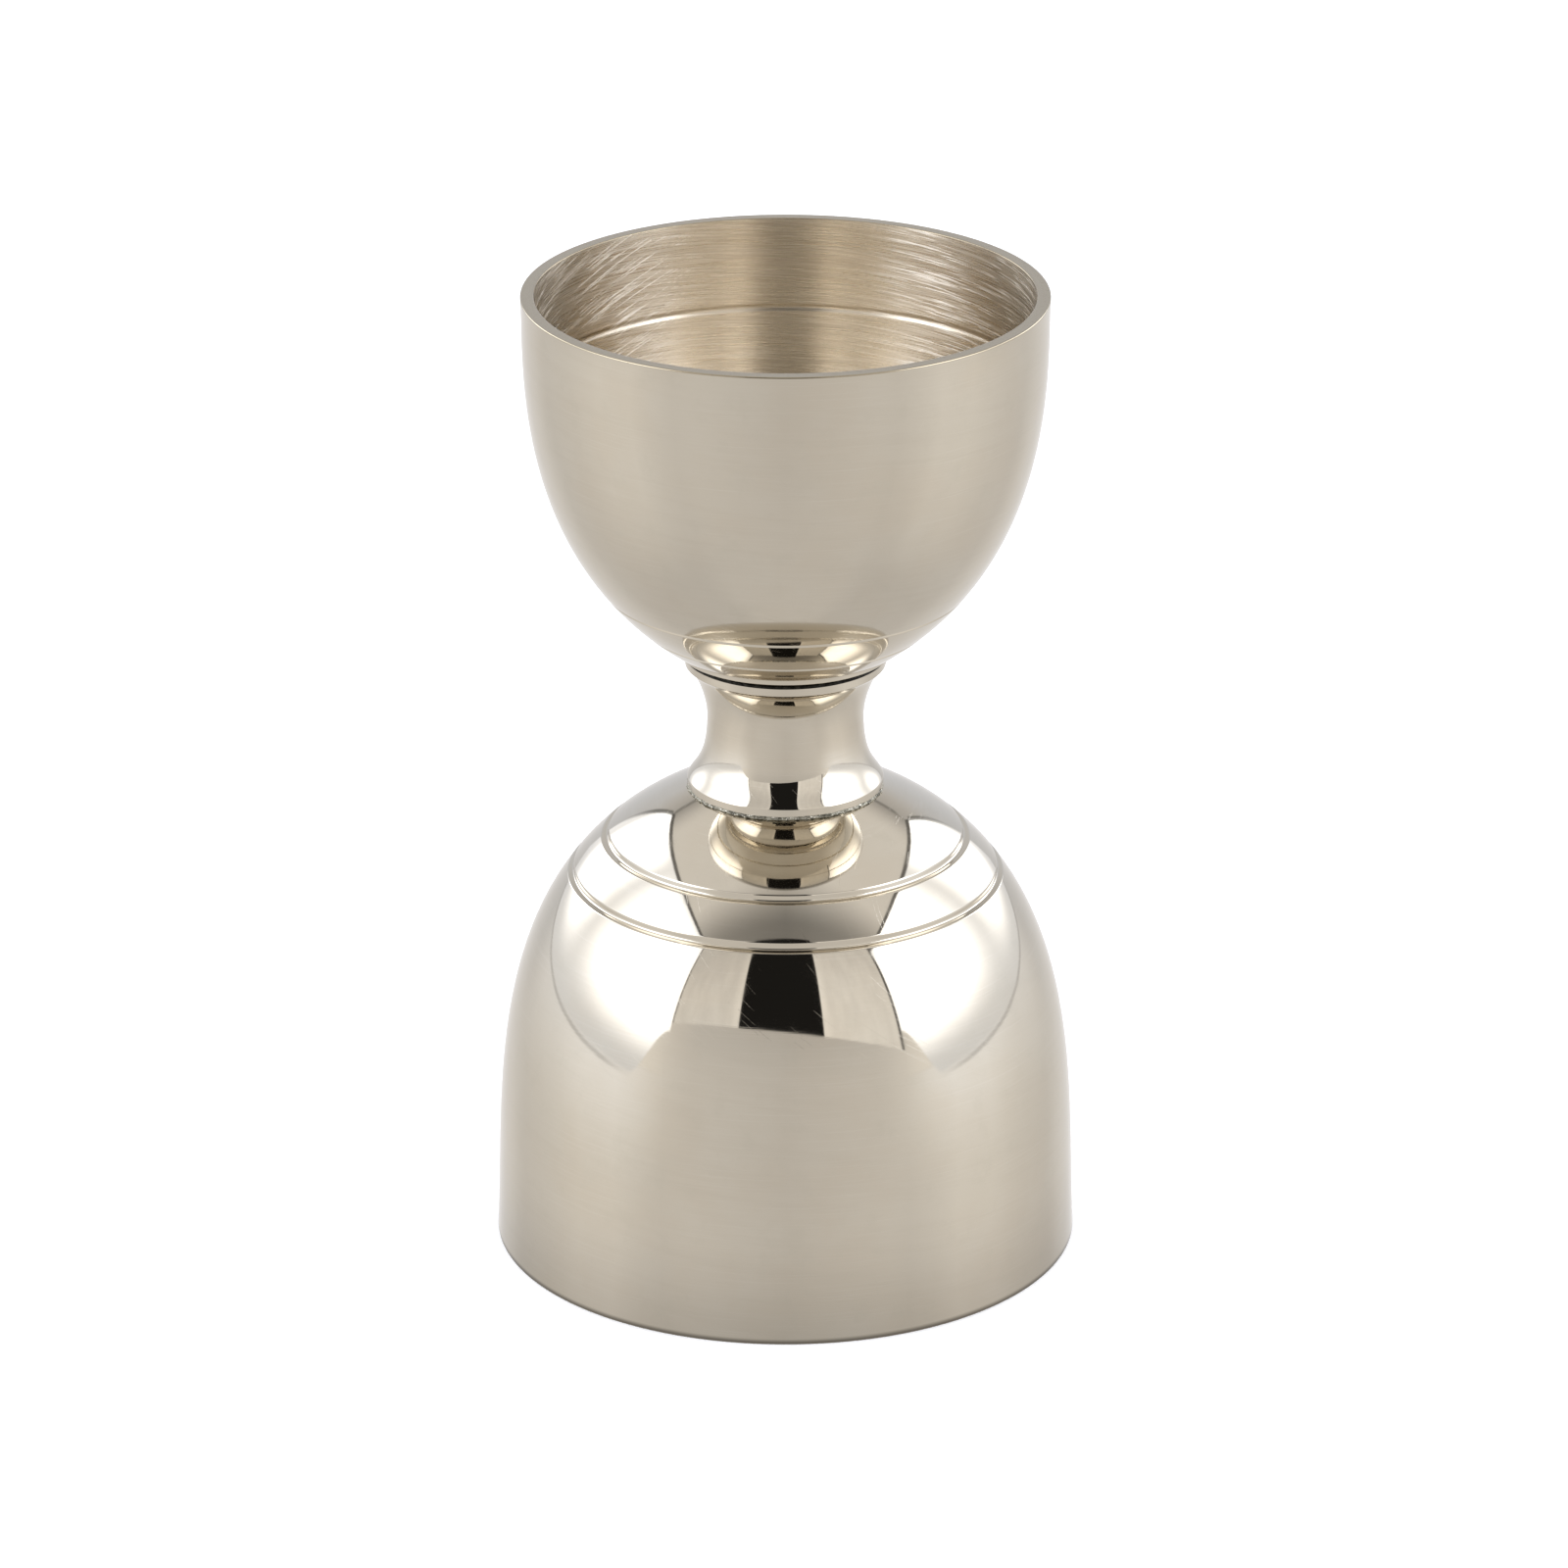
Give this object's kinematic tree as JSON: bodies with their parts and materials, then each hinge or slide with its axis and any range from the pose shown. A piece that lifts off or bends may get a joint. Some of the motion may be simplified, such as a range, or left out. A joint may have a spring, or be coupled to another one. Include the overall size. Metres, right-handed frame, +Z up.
{
  "type": "bar jigger",
  "caption": "Bell-shaped double bar jigger: a small measuring cup and a larger bell-shaped cup joined mouth outwards by a waisted neck, in polished nickel plate.",
  "frame": {"origin": "centre of the foot, on the surface that the jigger stands on", "axes": "+Z up along the axis of revolution, from the larger cup to the smaller one"},
  "size_m": [0.056, 0.056, 0.0947],
  "materials": {
    "nickel_plate": "warm bright nickel plate, mirror-polished outside, with fine turning and emery marks inside the cups",
    "bare_brass": "turned",
    "silver_braze": "dull, as melted",
    "screw_steel": "satin"
  },
  "bodies": {
    "root": {"lower_cup": "nickel_plate", "upper_cup": "nickel_plate", "neck": "nickel_plate", "lower_boss": "bare_brass", "upper_boss": "bare_brass", "lower_braze_ring": "silver_braze", "upper_braze_ring": "silver_braze", "joining_screw": "screw_steel"}
  },
  "joints": []
}
